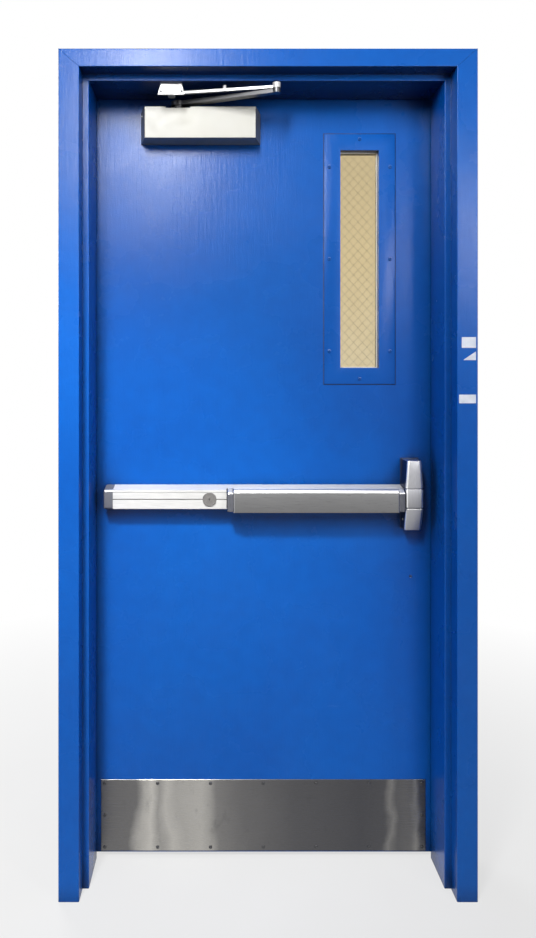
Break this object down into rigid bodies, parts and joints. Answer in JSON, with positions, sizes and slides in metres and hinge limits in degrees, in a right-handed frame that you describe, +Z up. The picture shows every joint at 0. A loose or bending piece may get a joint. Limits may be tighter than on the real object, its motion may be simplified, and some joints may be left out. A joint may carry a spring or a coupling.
{
  "type": "steel utility door in its frame",
  "caption": "Hollow steel door leaf in a double-rabbet steel frame, with a wired vision lite, kick plate, touch-bar exit device and parallel-arm closer.",
  "frame": {"origin": "middle of the underside of the hinge jamb's floor anchor, at floor level", "axes": "+X along the wall from the hinge jamb to the strike jamb, +Y through the wall from the push side to the pull side, +Z up"},
  "size_m": [1.0226, 0.237, 2.0795],
  "materials": {
    "blue_paint": "semi-gloss enamel",
    "bare_plate": "grey primer",
    "rubber": "matt",
    "hinge_steel": "satin",
    "wired_glass": "clear, wired",
    "kick_steel": "brushed",
    "rail_aluminium": "satin anodised",
    "cap_plastic": "moulded",
    "plug_chrome": "satin plate",
    "pad_steel": "brushed",
    "case_steel": "satin",
    "closer_lacquer": "aluminium lacquer",
    "closer_iron": "cast",
    "arm_lacquer": "aluminium lacquer"
  },
  "bodies": {
    "frame": {"hinge_jamb": "blue_paint", "strike_jamb": "blue_paint", "frame_head": "blue_paint", "hinge_jamb_anchor": "bare_plate", "strike_jamb_anchor": "bare_plate", "silencers": "rubber", "hinge_reinforcements": "bare_plate", "closer_shoe": "arm_lacquer", "shoe_pivot": "arm_lacquer", "bottom_hinge_frame_leaf": "hinge_steel", "middle_hinge_frame_leaf": "hinge_steel", "top_hinge_frame_leaf": "hinge_steel"},
    "door_leaf": {"push_side_skin": "blue_paint", "pull_side_skin": "blue_paint", "leaf_top_channel": "blue_paint", "leaf_bottom_channel": "blue_paint", "lite_frame_push": "blue_paint", "lite_frame_pull": "blue_paint", "lite_glass": "wired_glass", "kick_plate": "kick_steel", "exit_rail": "rail_aluminium", "exit_rail_end_cap": "cap_plastic", "dogging_plug": "plug_chrome", "exit_case_cover": "case_steel", "exit_case_base": "case_steel", "closer_cover": "closer_lacquer", "closer_body": "closer_iron", "bottom_hinge_door_leaf": "hinge_steel", "middle_hinge_door_leaf": "hinge_steel", "top_hinge_door_leaf": "hinge_steel"},
    "push_pad": {"push_pad": "pad_steel", "push_pad_left_cap": "cap_plastic", "push_pad_right_cap": "cap_plastic"},
    "closer_main_arm": {"closer_main_arm": "arm_lacquer", "closer_spindle": "arm_lacquer"},
    "closer_forearm": {"closer_forearm": "arm_lacquer", "forearm_adjuster": "arm_lacquer"}
  },
  "joints": [
    {"name": "door_swing", "type": "hinge", "parent": "frame", "child": "door_leaf", "pos_m": [0.0142, 0.119, 0], "axis": [0, 0, 1], "range_deg": [0, 100], "stiffness_Nm_per_rad": 12, "springref_deg": -34.38},
    {"name": "pad_press", "type": "slide", "parent": "door_leaf", "child": "push_pad", "axis": [0, 1, 0], "range_m": [0, 0.015], "stiffness_N_per_m": 1500, "springref_m": -0.01},
    {"name": "main_arm_turn", "type": "hinge", "parent": "door_leaf", "child": "closer_main_arm", "pos_m": [0.2462, 0.024, 1.986], "axis": [0, 0, 1], "range_deg": [-109, 0]},
    {"name": "forearm_turn", "type": "hinge", "parent": "frame", "child": "closer_forearm", "pos_m": [0.2322, -0.025, 1.998], "axis": [0, 0, 1], "range_deg": [0, 85]}
  ],
  "couplings": [
    {"joint": "main_arm_turn", "follows": "door_swing", "ratio": -1.0854},
    {"joint": "forearm_turn", "follows": "door_swing", "ratio": 0.84845}
  ]
}
